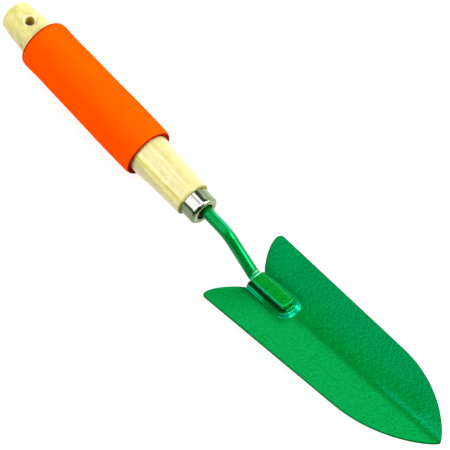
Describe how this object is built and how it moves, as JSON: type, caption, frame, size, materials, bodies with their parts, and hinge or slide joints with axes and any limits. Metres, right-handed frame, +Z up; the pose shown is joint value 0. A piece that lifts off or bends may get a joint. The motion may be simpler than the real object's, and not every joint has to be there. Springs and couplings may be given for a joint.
{
  "type": "garden hand trowel",
  "caption": "Garden hand trowel with a pointed V-shaped steel blade, a cranked steel neck, a ferrule and a turned wooden handle with a foam grip, for digging and planting.",
  "frame": {"origin": "on the ground, at the middle of the footprint of the tool as it lies on its back", "axes": "+X from the butt of the handle to the point of the blade, +Y across the blade to its left as seen from the butt, +Z up, towards the open side of the blade; the handle axis is tipped 1.97 degrees up towards the blade, the way the tool rests on its grip and on the two ears of the blade"},
  "size_m": [0.3908, 0.0632, 0.0405],
  "materials": {
    "bare_wood": "bare sanded hardwood, pale yellow, fine grain",
    "orange_foam": "matte closed-cell foam, bright orange",
    "nickel": "bright nickel plate",
    "green_gloss_paint": "glossy green enamel over steel",
    "green_hammered_paint": "green hammered enamel over pressed steel"
  },
  "bodies": {
    "root": {"handle": "bare_wood", "grip_sleeve": "orange_foam", "ferrule": "nickel", "shank": "green_gloss_paint", "blade": "green_hammered_paint", "toe_weld": "green_gloss_paint"}
  },
  "joints": []
}
